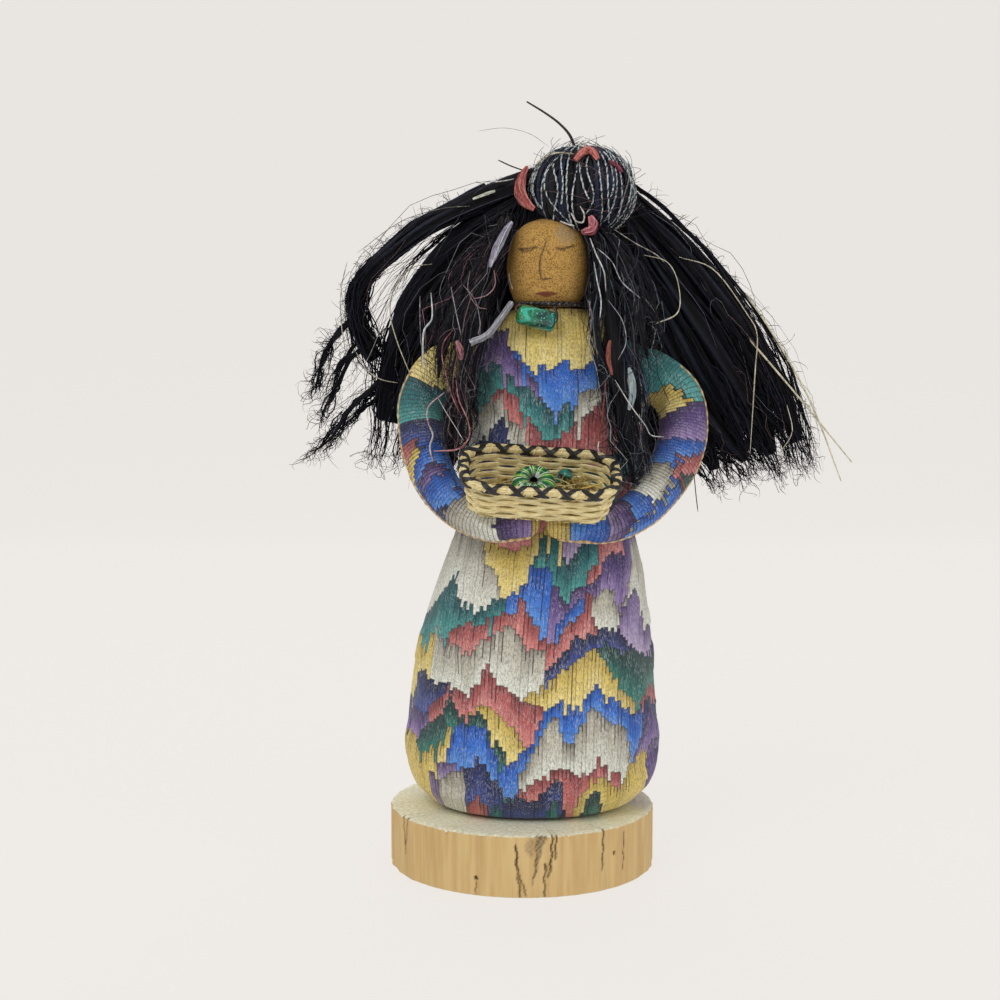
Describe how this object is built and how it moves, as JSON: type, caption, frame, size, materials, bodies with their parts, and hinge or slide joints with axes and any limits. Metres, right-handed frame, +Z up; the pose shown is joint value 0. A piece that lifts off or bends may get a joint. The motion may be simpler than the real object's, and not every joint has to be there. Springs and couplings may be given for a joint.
{
  "type": "folk art doll",
  "caption": "Standing cloth folk art doll in flame-stitch print with leather face and wide yarn hair, holding an open woven basket of beads on a round log slice.",
  "frame": {"origin": "centre of the log slice's underside", "axes": "+Z up; -Y is the doll's front; +X is the doll's own left"},
  "size_m": [0.2096, 0.1119, 0.292],
  "materials": {
    "pine": "bare sawn and peeled pine with a dark knot and splits",
    "flame_stitch_cloth": "printed cotton in a many-coloured flame-stitch zigzag, stuffed firm",
    "leather": "tan suede with drawn features, worn at the forehead",
    "black_cord": "waxed black cord",
    "green_glass": "green foil glass, polished",
    "wicker": "split cane, natural, with black lacing on the rim",
    "straw": "loose dry straw",
    "striped_glass": "opaque green and yellow striped glass, polished",
    "turquoise_glass": "rough turquoise-green glass nugget",
    "black_yarn": "fluffy black yarn with slubs",
    "variegated_yarn": "black and navy yarn twisted with white, silver and pink"
  },
  "bodies": {
    "root": {"base_slice": "pine", "body": "flame_stitch_cloth", "right_arm": "flame_stitch_cloth", "left_arm": "flame_stitch_cloth", "head": "leather", "neck_cord": "black_cord", "neck_bead": "green_glass", "basket": "wicker", "basket_fill": "straw", "striped_bead": "striped_glass", "turquoise_bead": "turquoise_glass", "hair_right": "black_yarn", "hair_left": "black_yarn", "topknot": "variegated_yarn", "right_front_lock": "variegated_yarn", "left_front_lock": "variegated_yarn"}
  },
  "joints": []
}
